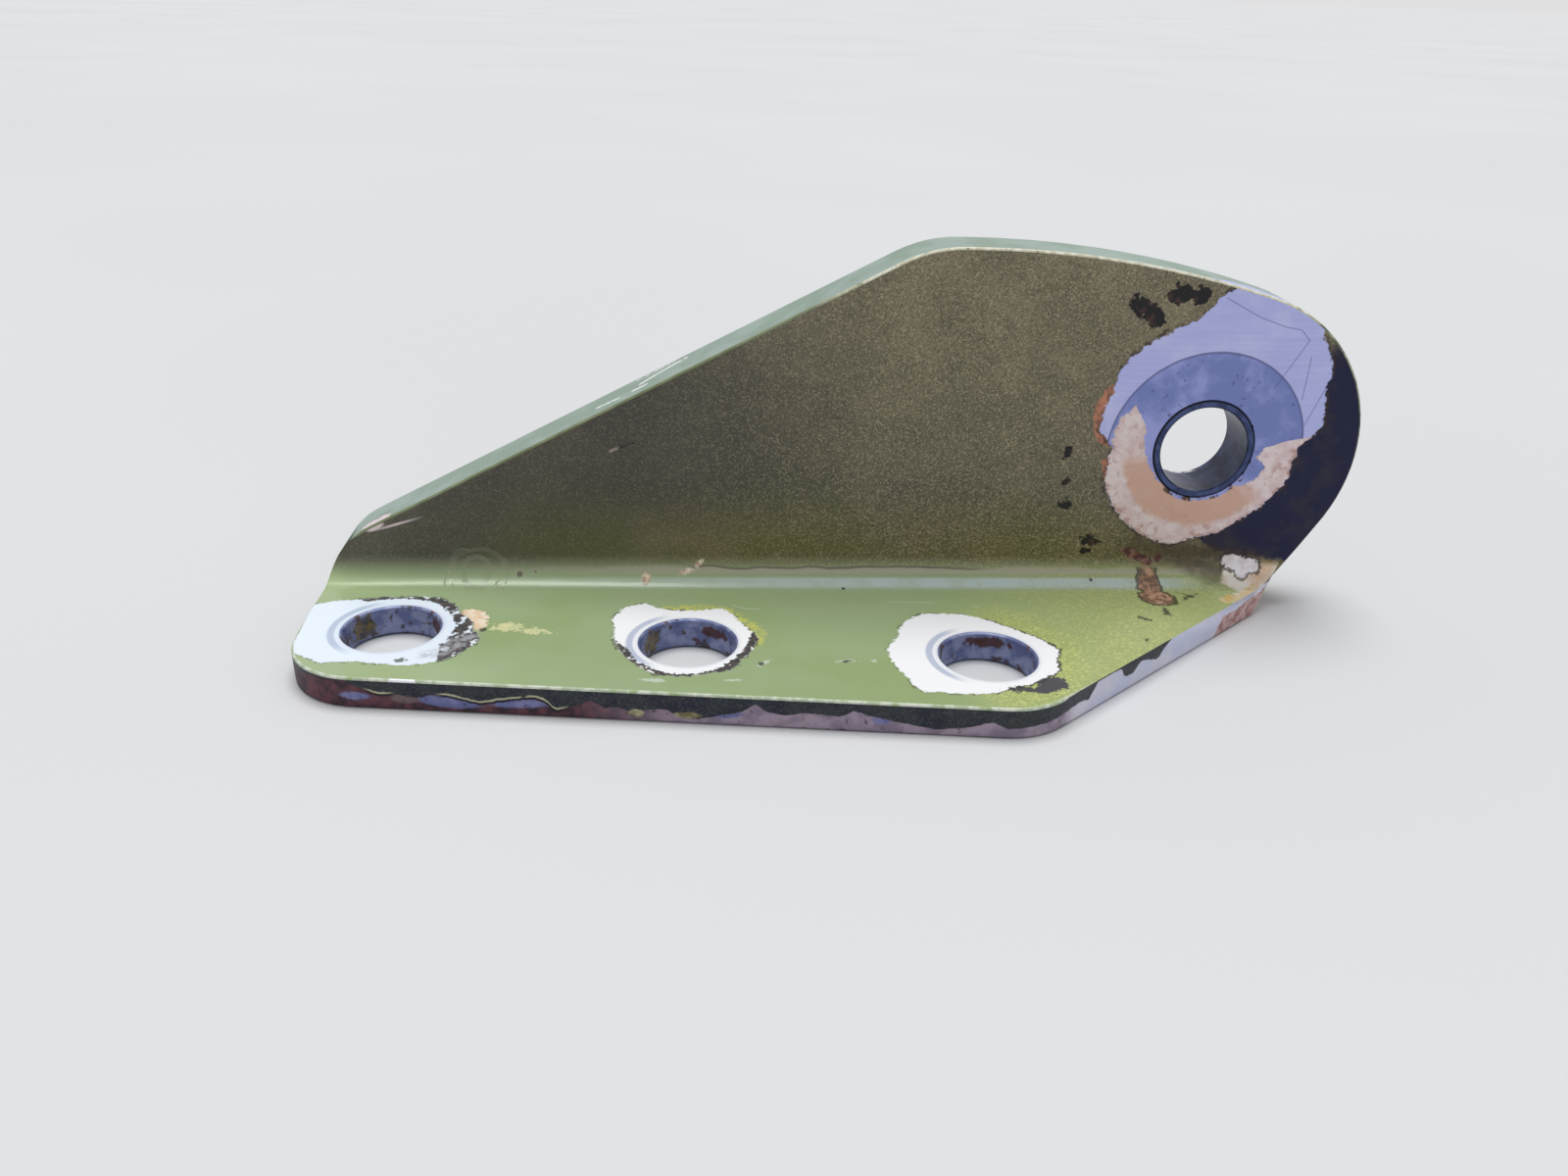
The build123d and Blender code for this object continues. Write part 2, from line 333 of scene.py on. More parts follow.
class Coat:
    """What lies on a surface, laid on in turn, each layer where its mask is 1."""

    def __init__(self, shader, colour, roughness, metallic=0.0, height=0.0):
        self.shader = shader
        self.values = {"colour": colour, "roughness": roughness, "metallic": metallic, "height": height}

    def lay(self, mask, **changes):
        for name, value in changes.items():
            self.values[name] = self.shader.blend(mask, self.values[name], value)

    def tint(self, mask, share, colour):
        """Lays a share of one colour on where the mask is 1."""
        self.lay(self.shader.times(mask, share), colour=colour)

    def finish(self, specular=0.3):
        """Joins the layers to the output. Height is in hundredths of a millimetre."""
        shader = self.shader
        surface = shader.node("BsdfPrincipled")
        shader.feed(surface.inputs["Base Color"], self.values["colour"])
        shader.feed(surface.inputs["Roughness"], self.values["roughness"])
        shader.feed(surface.inputs["Metallic"], self.values["metallic"])
        surface.inputs["Specular IOR Level"].default_value = specular
        bump = shader.node("Bump", Height=self.values["height"])
        bump.inputs["Distance"].default_value = 0.01 * MM
        shader.feed(surface.inputs["Normal"], bump.outputs["Normal"])
        output = shader.node("OutputMaterial")
        shader.feed(output.inputs["Surface"], surface.outputs["BSDF"])
        return shader.material


# Finishes that several surfaces share. In the functions that follow, s is the material's Shader.
SAGE = (157, 176, 124)
SPRAY_YELLOW = (206, 208, 112)
# The lug's black paint, tinted blue as a painted reflection.
BLACK_PAINT_BLUE_REFLECTION = (4, 10, 56)
BARE_PALE = (253, 253, 254)
# Bare lug metal, lavender from a painted blue reflection.
BARE_LUG_BLUE_REFLECTION = (188, 192, 240)
PRIMER_PINK = (238, 210, 210)
PRIMER_PALE = (250, 232, 232)
PRIMER_TAN = (228, 180, 156)
SCALE_DARK = (46, 47, 50)
RUST = (96, 58, 48)
PAINT_HEIGHT = 6.0
PAINT_METALLIC = 0.05
WEB_ROUGHNESS = 0.32
FLANGE_ROUGHNESS = 0.24
PRIMER_HEIGHT = 2.5


def web_paint(s):
    """Olive metallic paint: smooth and dark at the tail, browner and grainier towards the lug."""
    rightward = s.ramp(s.along, -12, 24)
    upward = s.ramp(s.z, 8, 34)
    left = s.mottle(7, (80, 77, 68), (91, 86, 74), 3)
    right = s.mottle(6, (122, 114, 90), (138, 128, 102), 4)
    colour = s.blend(s.times(rightward, s.add(0.45, s.times(upward, 0.55))), left, right)
    colour = s.blend(s.times(s.ramp(s.z, 18, 7), 0.6), colour, (100, 96, 78))
    # Darker over a broad patch in the middle of the web.
    darker_patch = s.blots(s.web, (((-4, 17), (16, 9), 20),), s.wander(3.0, 9, 14), 4.0)
    colour = s.blend(s.times(darker_patch, 0.45), colour, (70, 66, 58))
    low = s.times(s.ramp(s.z, 15, 6), s.ramp(s.along, -30, 5))
    colour = s.blend(s.times(low, 0.8), colour, s.mottle(5, (118, 112, 64), (128, 116, 74), 5))
    grainy = s.add(0.16, s.times(rightward, 0.36))
    pale, dark, _ = s.grain(0.14)
    colour = s.blend(s.times(s.ramp(pale, 0.55, 1.0), grainy), colour, (196, 184, 150))
    colour = s.blend(s.times(s.ramp(dark, 0.55, 1.0), grainy), colour, (42, 38, 32))
    return colour


def flange_paint(s):
    """Sage paint, with yellow overspray that thickens from the nose hole to the right end, painted lighter
    towards the web to make up for the web's shade.
    """
    colour = s.mottle(11, SAGE, (164, 182, 138), 6, 0.3, 0.7)
    # Painted light: lighter towards the web, making up for the shade that the web casts there.
    colour = s.blend(s.times(s.ramp(s.y, 5, 12), 0.5), colour, (178, 198, 146))
    nose = s.around(s.plan, (HOLE_XS[2], 0))
    near_nose = s.times(s.ramp(nose[0], 15, 7), s.ramp(s.x, 26, 33))
    sprayed = s.most(s.times(s.ramp(s.x, 22, 46), 0.7), near_nose)
    colour = s.blend(s.times(sprayed, 0.6), colour, (184, 192, 108))
    speck = s.ramp(s.grain(0.2)[0], 0.55, 0.9)
    return s.blend(s.times(speck, sprayed, 0.8), colour, (218, 220, 142))


def peel(s, seed=7):
    """The slight unevenness of sprayed paint, in hundredths of a millimetre."""
    return s.times(s.noise(1.3, 2, seed), 1.4)


def lay_blister(s, coat):
    """A blister in the paint at the tail's end, with the drip around it."""
    drip_room = s.add(s.spread(s.web, (((-24.6, 4.6), (3.2, 2.4)),)), s.wander(0.3, 2.5, 15))
    drip = s.near(drip_room, 0.15, 0.4)
    blister_room = s.spread(s.web, (((-24.7, 4.6), (1.5, 1.5)),))
    coat.tint(drip, 0.18, (172, 176, 150))
    coat.tint(s.near(blister_room, 0.1, 0.4), 0.35, (150, 156, 128))
    raised = s.add(s.times(drip, 5.0), s.times(s.ramp(blister_room, -0.3, 0.4), 4.0))
    coat.values["height"] = s.add(coat.values["height"], raised)


def lay_fillet_marks(s, coat):
    """The run in the paint along the inner fillet, the craters and chips beside it, and a painted highlight
    along the fillet.
    """
    crater_shapes = (((-20.0, 4.3), (0.5, 0.45)), ((-18.3, 4.5), (0.32, 0.3)), ((-27.8, 4.5), (0.2, 0.18)))
    crater = s.spread(s.web, crater_shapes)
    coat.tint(s.ramp(crater, -0.05, 0.08), 0.4, (186, 180, 152))
    coat.tint(s.ramp(crater, 0.12, 0.22), 0.7, (52, 46, 34))
    run_edge = s.add(4.9, s.wander(0.22, 4.0, 12, 1.0))
    below_run = s.times(s.ramp(s.less(run_edge, s.z), -0.25, 0.2), s.ramp(s.z, 4.1, 4.6))
    coat.tint(s.times(below_run, s.ramp(s.along, -30, 0)), 0.75, (186, 178, 160))
    # Painted highlight: the pale blue-white band along the fillet is a highlight laid into the colour, not
    # wear.
    uneven = s.blend(s.patches(2.6, 16, 0.3, 0.6), 0.65, 1.0)
    rubbed = s.times(s.near(s.z, 3.7, 0.46), s.ramp(s.along, -40, 30), s.ramp(s.along, 58, 50), uneven)
    coat.lay(s.times(rubbed, 0.75), colour=(212, 226, 232), roughness=0.3)
    on_run_edge = s.near(s.less(s.z, run_edge), 0.0, 0.16)
    run_line = s.times(on_run_edge, s.ramp(s.along, -2, 0), s.ramp(s.along, 34, 28))
    coat.tint(run_line, 0.6, (64, 54, 42))
    chip_shapes = (
        ((-6.2, 4.0), (0.5, 0.42), 20), ((-1.7, 4.55), (0.75, 0.24), 15), ((-0.5, 5.3), (0.62, 0.26), 40),
    )
    chips = s.blots(s.web, chip_shapes, s.wander(0.14, 0.5, 11))
    coat.lay(chips, colour=s.mottle(0.6, (250, 232, 208), (196, 160, 130), 13), roughness=0.6)
    dots = s.blots(s.plan, (((15.7, 13.6), (0.2, 0.2)), ((43.6, 17.6), (0.18, 0.18))))
    coat.lay(dots, colour=SCALE_DARK)


def lay_lug_paint(s, coat, polar):
    """The lug's black paint, with its brown smear and stains, and the marks beside it."""
    fine, coarse = s.wander(0.3, 0.7, 21), s.wander(0.6, 2.5, 22)
    away, angle = polar
    limit_points = ((46, 11), (52, 9.6), (55.7, 8.5), (57.7, 7.0), (59.9, 6.5), (63.2, 6.1), (72, 5.0))
    lower_limit = s.curve(s.along, limit_points, OUTLINE_REACH)
    above = s.ramp(s.add(s.less(s.z, lower_limit), fine), -0.3, 0.3)
    on_right = s.ramp(s.size(s.add(angle, 34, s.times(coarse, 4))), 84, 74)
    black = s.times(s.ramp(s.add(away, fine), 9.2, 9.7), on_right, above)
    coat.lay(black, colour=s.mottle(2.6, BLACK_PAINT_BLUE_REFLECTION, (38, 36, 54), 23, 0.45, 0.75), roughness=0.5)
    smear = s.blots(s.web, (((54.5, 7.0), (6.5, 1.1), -6), ((57.0, 5.2), (4.6, 1.1), -12)), coarse, 0.9)
    coat.lay(s.times(smear, 0.8), colour=s.mottle(1.4, (58, 44, 34), (84, 66, 50), 24))
    flake_shapes = (
        ((48.6, 6.5), (1.7, 0.5), -22), ((50.3, 5.6), (0.9, 0.5), -10), ((51.3, 6.1), (0.4, 0.6), -30),
    )
    flake = s.blots(s.web, flake_shapes, fine)
    coat.lay(flake, colour=s.mottle(0.7, (88, 54, 50), (146, 108, 94), 27), roughness=0.6)


def lay_stains(s, coat):
    """Dark stains beside the lug."""
    shapes = (
        ((43.1, 8.1), (1.0, 0.6)), ((43.1, 6.9), (0.6, 0.35)), ((39.3, 18.6), (0.5, 0.8)),
        ((39.6, 15.2), (0.4, 0.6)), ((40.0, 12.5), (0.7, 0.6)), ((44.7, 34.6), (1.1, 0.9), -35),
        ((46.5, 33.4), (1.4, 1.0), -50), ((48.8, 35.8), (1.4, 1.0), 10), ((51.0, 35.7), (1.0, 0.9)),
        ((44.2, 37.2), (0.2, 0.2)),
    )
    stains = s.blots(s.web, shapes, s.wander(0.5, 0.8, 25))
    ink = s.mottle(1.0, (14, 12, 16), (70, 44, 40), 26, 0.5, 0.7)
    coat.lay(stains, colour=ink, roughness=0.35)


def lay_lug_wear(s, coat, polar):
    """Bare metal, a worn ring and primer around the bushing."""
    fine = s.wander(0.28, 0.7, 31)
    away, angle = polar
    orange = s.within(s.room(polar, LUG_ORANGE, fine))
    coat.lay(s.times(orange, 0.85), colour=s.mottle(0.9, (214, 142, 112), (160, 106, 88), 32), roughness=0.6)
    room = s.room(polar, LUG_BARE, fine)
    # Painted shade: a dark brown line along the paint's edge around the bare metal, where the paint's step
    # would shade it.
    painted_edge_shade = s.times(s.near(room, -0.15, 0.35), s.patches(1.2, 33, 0.4, 0.6))
    coat.tint(painted_edge_shade, 0.8, (52, 38, 32))
    bare = s.within(room)
    brushed = s.ramp(s.noise(0.3, 2, 34, (0.03, 0.03, 1.0)), 0.3, 0.7)
    # Painted reflection: the bare metal's lavender and blue tones, here and in the worn ring, are a blue
    # reflection laid into its colour.
    metal = s.blend(s.times(brushed, 0.6), BARE_LUG_BLUE_REFLECTION, (174, 178, 228))
    metal = s.blend(s.times(s.patches(4.0, 42, 0.45, 0.65), 0.5), metal, (204, 204, 240))
    coat.lay(bare, colour=metal, roughness=0.34, metallic=0.55, height=s.times(brushed, 0.12))
    worn = s.times(s.ramp(away, 10.85, 10.7), bare)
    to_right = s.math("COSINE", s.math("RADIANS", s.less(angle, 50)))
    smudged = s.ramp(s.add(s.noise(3.5, 3, 35), s.times(to_right, 0.16)), 0.36, 0.66)
    coat.lay(worn, colour=s.blend(smudged, (158, 165, 222), (122, 134, 192)), roughness=0.3)
    specks = s.times(s.patches(0.7, 37, 0.64, 0.7), 0.8)
    coat.tint(s.times(worn, specks), 0.75, (72, 76, 108))
    ring_line = s.times(s.near(away, 10.8, 0.16), bare)
    coat.tint(ring_line, 0.7, (76, 82, 128))
    scratches = (
        ((60.6, 32.6), (62.4, 32.3), (63.5, 31.2), (60.8, 26.0)),
        ((53.8, 35.5), (57.6, 33.6), (60.6, 32.6)), ((64.1, 29.4), (64.1, 24.8)),
        ((66.9, 27.6), (65.0, 21.9)),
    )
    coat.tint(s.times(s.strokes(s.web, scratches, 0.05), bare), 0.65, (92, 94, 150))
    inside = s.within(s.room(polar, LUG_PRIMER_INSIDE, fine))
    outside = s.within(s.room(polar, LUG_PRIMER_OUTSIDE, fine))
    primer = s.times(bare, s.outside(inside), outside)
    uneven_away = s.add(away, s.wander(0.5, 1.5, 38))
    tan = s.times(s.ramp(uneven_away, 9.4, 8.6), s.ramp(s.size(s.add(angle, 105)), 78, 55))
    pink = s.mottle(1.3, PRIMER_PINK, PRIMER_PALE, 39)
    pink = s.blend(s.times(s.patches(1.1, 40, 0.55, 0.66), 0.55), pink, (196, 148, 134))
    tanned = s.blend(s.times(tan, 0.85), pink, PRIMER_TAN)
    coat.lay(primer, colour=tanned, roughness=0.65, metallic=0.0, height=PRIMER_HEIGHT)
    by_bushing = s.near(away, 5.75, 0.4)
    below = s.ramp(s.size(s.add(angle, 80)), 75, 40)
    seam = s.times(by_bushing, below, s.patches(0.8, 41, 0.45, 0.6))
    coat.lay(seam, colour=(84, 64, 56), roughness=0.7)
    lower_edge = s.times(s.near(room, 0.1, 0.3), primer, s.patches(0.9, 43, 0.45, 0.58))
    coat.tint(lower_edge, 0.6, (190, 140, 120))


def lay_heel_filler(s, coat):
    """A lump of tan filler, and paint chipped down to cream, where the fillet and nose meet."""
    fine, coarse = s.wander(0.25, 0.6, 51), s.wander(0.3, 0.9, 56)
    low = s.ramp(s.z, 5.2, 4.8)
    lump_shapes = (
        ((50.5, 15.0), (1.6, 1.7), 20), ((50.2, 17.6), (1.1, 1.8), 5), ((50.4, 20.2), (0.7, 1.2)),
    )
    lump_room = s.add(s.spread(s.plan, lump_shapes), coarse)
    shade = s.blots(s.plan, (((52.3, 14.4), (0.4, 1.3)), ((53.7, 16.2), (0.8, 0.25), -25)), coarse)
    rim = s.most(s.within(lump_room, 0.12), s.ramp(lump_room, -0.45, -0.3), shade)
    coat.tint(s.times(rim, low), 0.85, (74, 62, 48))
    ridges = s.mottle(0.8, (200, 158, 128), (132, 102, 82), 52, 0.42, 0.58)
    lump_height = s.add(10.0, s.times(s.noise(0.7, 3, 57), 8.0))
    coat.lay(s.times(s.within(lump_room), low), colour=ridges, roughness=0.55, height=lump_height)
    end_shapes = (((63.2, 19.3), (4.4, 2.9), 45), ((60.4, 19.4), (1.8, 1.0), 20))
    end = s.times(s.blots(s.plan, end_shapes, s.wander(0.7, 1.6, 53), 0.4), s.ramp(s.z, 5.7, 4.9))
    coat.lay(end, colour=s.mottle(1.6, (248, 240, 228), (232, 212, 184), 54, 0.42, 0.68), roughness=0.5)
    spot_shapes = (
        ((58.8, 15.5), (1.5, 0.9), 30), ((61.4, 17.6), (1.9, 0.7), 45), ((64.4, 21.2), (0.9, 0.5), 45),
    )
    spot = s.times(s.blots(s.plan, spot_shapes, fine), low, 0.75)
    coat.lay(spot, colour=s.mottle(0.9, (238, 190, 108), (232, 214, 170), 58), roughness=0.6)


def lay_heel_chip(s, coat):
    """The pale chip at the foot of the web, below the lug."""
    fine = s.wander(0.25, 0.6, 51)
    warm = s.times(s.blots(s.web, (((63.0, 4.5), (2.2, 0.9), 10),), fine, 0.5), s.ramp(s.along, 61, 63))
    coat.tint(warm, 0.6, (222, 168, 116))
    chip_shapes = (
        ((60.4, 5.6), (1.6, 0.8), -8), ((62.0, 5.3), (1.3, 0.75), -10), ((61.2, 4.8), (0.7, 0.7), 20),
    )
    chip = s.add(s.spread(s.web, chip_shapes), fine)
    # Painted shadow: a dark rim just outside the chip, where the paint's edge would shade it.
    coat.tint(s.ramp(chip, -0.32, -0.2), 0.8, (52, 42, 38))
    pale = s.mottle(1.0, (252, 246, 250), (236, 224, 228), 55)
    coat.lay(s.within(chip), colour=pale, roughness=0.45)


def lay_hole_wear(s, coat):
    """Bare seats around the bolt holes, ringed by dark scale, and the flange's small chips."""
    fine = s.wander(0.28, 0.6, 61)
    tail, middle, nose = (s.around(s.plan, (x, 0)) for x in HOLE_XS)
    spray = s.within(s.room(middle, MIDDLE_OVERSPRAY, fine), 0.4)
    coat.lay(s.times(spray, s.ramp(s.grain(0.25)[0], 0.15, 0.6)), colour=SPRAY_YELLOW)
    filler = s.blots(s.plan, (((-22.8, 3.4), (1.8, 1.3), -30), ((-21.6, 1.6), (0.7, 1.3))), fine)
    coat.lay(filler, colour=s.mottle(0.9, (238, 222, 198), (226, 196, 160), 63), roughness=0.6)
    for polar, outline in ((tail, TAIL_BARE), (middle, MIDDLE_BARE), (nose, NOSE_BARE)):
        room = s.room(polar, outline, fine)
        lip = s.times(s.near(room, -0.1, 0.22), s.patches(1.5, 64, 0.5, 0.6))
        coat.tint(lip, 0.7, (70, 76, 60))
        bare = s.within(room)
        seat = s.blend(s.ramp(s.x, -18, -24), BARE_PALE, (232, 242, 252))
        coat.lay(bare, colour=seat, roughness=0.35, metallic=0.0, height=0.0)
        crescent = s.times(s.near(polar[0], 5.9, 0.5), s.ramp(s.size(polar[1]), 108, 140), bare)
        coat.tint(crescent, 0.75, (168, 180, 206))
        coat.tint(s.times(s.ramp(polar[0], 5.6, 5.0), bare), 0.4, (186, 194, 214))
    broken = s.patches(1.2, 65, 0.38, 0.44)
    scaled_seats = ((tail, TAIL_BARE, TAIL_SCALE_INSIDE), (middle, MIDDLE_BARE, MIDDLE_SCALE_INSIDE))
    for polar, outline, inside in scaled_seats:
        bare = s.within(s.room(polar, outline, fine))
        band = s.times(bare, s.outside(s.within(s.room(polar, inside, fine))))
        flecks = s.times(band, broken)
        scale = s.mottle(0.7, SCALE_DARK, (78, 70, 66), 66)
        coat.lay(flecks, colour=scale, roughness=0.6, metallic=0.0)
    scrape = s.blots(s.plan, (((-22.6, -2.0), (1.1, 2.6), -28), ((-24.4, -4.6), (1.6, 0.9), 30)), fine, 0.3)
    coat.tint(s.times(scrape, s.patches(1.0, 67, 0.35, 0.6)), 0.7, (176, 176, 182))
    flake_shapes = (
        ((35.9, -5.0), (1.7, 1.1), 25), ((35.0, -6.2), (1.1, 0.9)), ((33.0, -6.3), (1.3, 0.55)),
    )
    coat.lay(s.blots(s.plan, flake_shapes, s.wander(0.5, 0.7, 68)), colour=(74, 74, 78), roughness=0.5)
    nose_edge = s.times(s.near(s.room(nose, NOSE_BARE, fine), 0.0, 0.16), s.ramp(s.x, 29, 32))
    coat.tint(nose_edge, 0.85, SCALE_DARK)
    smear_shapes = (((-18.6, 1.4), (1.5, 0.9), 12), ((-16.2, 0.8), (1.6, 0.5)))
    smear = s.times(s.blots(s.plan, smear_shapes, s.wander(0.55, 0.5, 70)), 0.8)
    coat.lay(smear, colour=s.mottle(0.9, (206, 208, 156), (230, 220, 168), 69), roughness=0.6)
    nicks = (
        ((3.8, 8.5), (5.3, 7.8), (6.8, 7.9)), ((20.7, 10.9), (25.4, 11.3)), ((29.4, 10.7), (30.5, 10.9)),
    )
    pale_shapes = (
        ((-2.4, -7.8), (1.2, 0.35)), ((5.0, -7.1), (0.7, 0.15)), ((7.9, -3.6), (0.8, 0.3), 50),
        ((15.9, -2.4), (0.8, 0.25)), ((18.7, -2.1), (0.25, 0.2)),
    )
    pale = s.most(s.blots(s.plan, pale_shapes, fine), s.strokes(s.plan, nicks, 0.055))
    coat.tint(pale, 0.75, (214, 222, 206))
    dark_shapes = (
        ((48.0, 9.7), (0.8, 0.3), -30), ((50.7, 11.6), (0.35, 1.0)), ((54.2, 15.5), (1.0, 0.3), 40),
        ((47.2, 5.0), (0.3, 0.25)), ((-27.2, -6.3), (0.5, 0.35)), ((-21.0, 0.6), (0.4, 0.4)),
        ((7.7, -3.7), (0.3, 0.3)), ((16.0, -2.5), (0.4, 0.2)),
    )
    dark = s.blots(s.plan, dark_shapes, fine)
    coat.tint(dark, 0.85, (62, 62, 52))


def web_material():
    """The web's front."""
    s = Shader("web_paint")
    uneven = peel(s)
    coat = Coat(s, web_paint(s), WEB_ROUGHNESS, PAINT_METALLIC, s.add(PAINT_HEIGHT, uneven))
    pits = s.pits(2.4, 0.13, 0.4, 8)
    coat.lay(s.times(pits, 0.8), colour=s.mottle(5, (34, 30, 26), (150, 140, 112), 9, 0.5, 0.52))
    polar = s.around(s.web, PIVOT)
    lay_blister(s, coat)
    lay_lug_paint(s, coat, polar)
    lay_stains(s, coat)
    lay_heel_chip(s, coat)
    lay_lug_wear(s, coat, polar)
    corner = s.blots(s.web, (((-35.2, 9.5), (1.0, 0.4), 24), ((-32.9, 9.8), (1.9, 0.12), 17)))
    coat.lay(corner, colour=(246, 226, 226), roughness=0.5)
    nick = s.times(s.strokes(s.web, (((-9.8, 18.3), (-7.3, 19.3)),), 0.12, s.wander(0.1, 0.6, 10)), 0.8)
    coat.lay(nick, colour=s.blend(s.ramp(s.along, -9.2, -8.6), (176, 160, 152), (36, 30, 28)))
    return coat.finish(specular=0.35)


def fillet_material():
    """The inner fillet, where the flange's sage turns into the web's olive."""
    s = Shader("fillet_paint")
    upward = s.ramp(s.z, 3.6, 6.2)
    colour = s.blend(upward, flange_paint(s), web_paint(s))
    uneven = peel(s)
    roughness = s.blend(upward, FLANGE_ROUGHNESS, WEB_ROUGHNESS)
    coat = Coat(s, colour, roughness, PAINT_METALLIC, s.add(PAINT_HEIGHT, uneven))
    lay_blister(s, coat)
    lay_fillet_marks(s, coat)
    lay_lug_paint(s, coat, s.around(s.web, PIVOT))
    lay_heel_filler(s, coat)
    lay_heel_chip(s, coat)
    return coat.finish(specular=0.5)


def flange_material():
    """The flange's top."""
    s = Shader("flange_paint")
    uneven = peel(s)
    coat = Coat(s, flange_paint(s), FLANGE_ROUGHNESS, PAINT_METALLIC, s.add(PAINT_HEIGHT, uneven))
    lay_heel_filler(s, coat)
    lay_hole_wear(s, coat)
    return coat.finish(specular=0.5)


def rim_material():
    """The flange's front, tail and nose, where the paint's lower edge has chipped away."""
    s = Shader("rim_paint")
    side = s.plane(s.x, s.z)
    fine = s.wander(0.07, 0.7, 71)
    uneven = s.times(s.wander(0.6, 3.0, 72), s.ramp(s.x, -34, -38))
    edge = s.add(s.curve(s.x, RIM_PAINT_EDGE, RIM_REACH), fine, uneven)
    room = s.less(edge, s.z)
    # Painted shade and reflection: the front's paint is laid on darker and bluer than the same paint on the
    # web.
    paint = s.mottle(2.5, (26, 32, 48), (46, 50, 56), 73)
    paint = s.blend(s.times(s.ramp(s.grain(0.16)[0], 0.6, 1.0), 0.25), paint, (112, 116, 104))
    coat = Coat(s, paint, 0.45, height=PAINT_HEIGHT)
    chipped = s.within(room, 0.08)
    to_right = s.ramp(s.add(s.x, s.wander(1.5, 3, 75)), -11, 4)
    purple = s.mottle(1.6, (104, 62, 72), (56, 38, 50), 76)
    pink = s.mottle(2.0, (138, 124, 142), (172, 154, 170), 77)
    coat.lay(chipped, colour=s.blend(to_right, purple, pink), roughness=0.55, height=0.0)
    # Painted reflection: the blue of these bare patches is a reflection laid into the metal's colour.
    blue_shapes = (
        ((-30.6, 1.35), (1.4, 0.42)), ((-21.7, 1.15), (3.0, 0.62), -4), ((-15.0, 1.35), (2.8, 0.5), 2),
        ((5.0, 1.15), (1.3, 0.34), 8), ((19.3, 1.45), (0.85, 0.5)),
    )
    blue = s.times(s.blots(side, blue_shapes, fine), chipped)
    coat.lay(blue, colour=s.mottle(1.5, (104, 110, 158), (128, 130, 172), 78), roughness=0.4, metallic=0.3)
    grey = s.times(s.blots(side, (((-25.8, 1.3), (1.3, 0.5)),), fine), chipped)
    coat.lay(grey, colour=(118, 100, 100))
    dark = s.times(s.patches(0.9, 79, 0.6, 0.66), chipped)
    coat.tint(dark, 0.7, (56, 38, 38))
    nose = s.ramp(s.x, 36.5, 38.5)
    pale = s.mottle(4.5, (202, 206, 230), (224, 220, 230), 80, 0.3, 0.7)
    coat.lay(s.times(nose, chipped), colour=pale, roughness=0.45, metallic=0.1)
    rough_points = ((55, 0.0), (56.5, 0.3), (57.4, 2.2), (59.7, 2.3), (62.1, 2.7), (66, 3.3))
    rough_edge = s.curve(s.x, rough_points, RIM_REACH)
    rough = s.times(s.within(s.add(s.less(rough_edge, s.z), s.wander(0.3, 0.8, 81))), s.ramp(s.x, 55, 56.5))
    coat.lay(rough, colour=s.mottle(1.0, (168, 124, 120), (206, 176, 172), 82), roughness=0.7)
    lifted = s.most(s.times(s.ramp(s.x, -23, -22), s.ramp(s.x, -10, -11)), s.near(s.x, -28.3, 1.6))
    lifted = s.times(lifted, s.ramp(s.noise(2.4, 2, 83), 0.34, 0.42))
    # Painted shadow: a dark line just below the lifted curls of paint.
    coat.tint(s.times(s.near(room, 0.16, 0.2), lifted), 0.9, (24, 18, 24))
    coat.lay(s.times(s.near(room, -0.08, 0.15), lifted), colour=(190, 188, 156), height=9.0)
    flakes = s.blots(side, (((-3.8, 0.95), (0.7, 0.42)), ((1.1, 0.95), (1.2, 0.36))), fine)
    coat.lay(flakes, colour=s.mottle(1.2, (186, 180, 140), (118, 108, 74), 84), height=8.0)
    return coat.finish()


def edge_material():
    """The web's edge: scratched along the top, black around the lug, and pale at the heel."""
    s = Shader("edge_paint")
    strip = s.plane(s.along, s.depth)
    # Partly painted reflection: the edge's sage paint is tinted blue-green as a reflection laid into its
    # colour.
    colour = s.mottle(5, (132, 152, 136), (148, 167, 156), 91)
    coat = Coat(s, colour, 0.4, height=s.add(PAINT_HEIGHT, peel(s, 92)))
    bare_shapes = (((57.5, 0.6), (4.6, 2.0)), ((61.5, 0.2), (3.6, 2.6), 8), ((54.0, 0.0), (2.2, 1.0)))
    bare_top = s.blots(strip, bare_shapes, s.wander(0.6, 1.3, 93))
    coat.lay(s.times(bare_top, 0.85), colour=BARE_LUG_BLUE_REFLECTION, roughness=0.35, metallic=0.2, height=0.0)
    chipped = s.wander(1.6, 2.4, 94)
    lug = s.most(s.ramp(s.add(s.along, chipped), 65.6, 66.2), s.ramp(s.add(s.z, chipped), 24.6, 24.0))
    lug = s.times(lug, s.ramp(s.along, 50, 52))
    # The black paint here is tinted blue as a painted reflection.
    coat.lay(lug, colour=s.mottle(2.0, (10, 13, 36), (34, 33, 40), 95, 0.3, 0.7), roughness=0.5)
    heel = s.times(s.ramp(s.along, 58, 60), s.ramp(s.add(s.z, s.wander(0.6, 1.0, 96)), 5.6, 5.2))
    coat.lay(heel, colour=s.mottle(1.3, (226, 216, 210), (206, 170, 134), 97), roughness=0.6)
    scratches = (
        ((-11.0, 2.2), (-8.9, 1.9)), ((-7.2, 2.0), (-6.0, 2.0)), ((-6.5, 3.2), (-4.8, 3.9), (-1.8, 4.6)),
    )
    hairline = (((-7.0, 5.2), (-3.0, 5.4)),)
    scratch = s.most(s.strokes(strip, scratches, 0.25), s.strokes(strip, hairline, 0.12))
    broken = s.patches(0.8, 98, 0.38, 0.46)
    coat.lay(s.times(scratch, broken), colour=(236, 238, 236), roughness=0.4, height=1.0)
    tail = s.blots(strip, (((-35.2, 0.6), (1.6, 0.9)),), s.wander(0.4, 0.8, 99))
    coat.lay(tail, colour=(222, 206, 206), roughness=0.5, height=1.0)
    return coat.finish()


